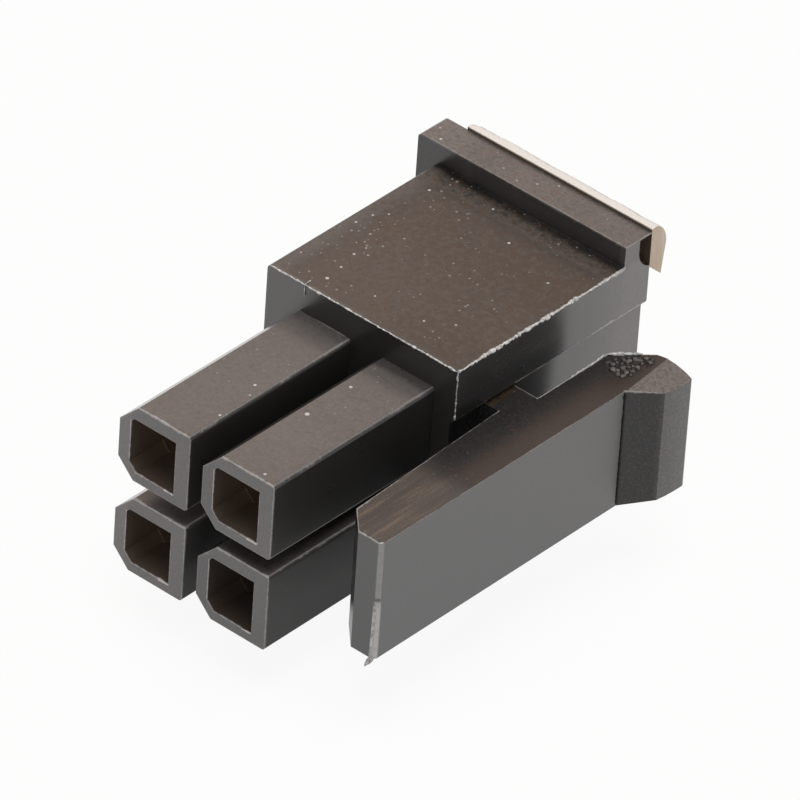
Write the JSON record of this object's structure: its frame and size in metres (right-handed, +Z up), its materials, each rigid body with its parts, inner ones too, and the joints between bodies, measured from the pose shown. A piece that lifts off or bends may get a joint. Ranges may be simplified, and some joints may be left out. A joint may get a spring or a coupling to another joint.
{
  "type": "multi-pin connector housing",
  "caption": "Dual-row receptacle housing for crimp contacts, black nylon, with chamfered silos, a rocking side latch and a cream strip along the wire side.",
  "frame": {"origin": "middle of the four cavities, in the plane of the silo tips", "axes": "+X towards the latch, +Y towards the wire side, +Z up as the part lies in the picture"},
  "size_m": [0.0105, 0.0149, 0.0087],
  "materials": {
    "black_nylon": "satin moulded black nylon, grained on the thumb pad",
    "cream_strip": "matt cream plastic"
  },
  "bodies": {
    "root": {"housing": "black_nylon", "rear_strip": "cream_strip"}
  },
  "joints": []
}
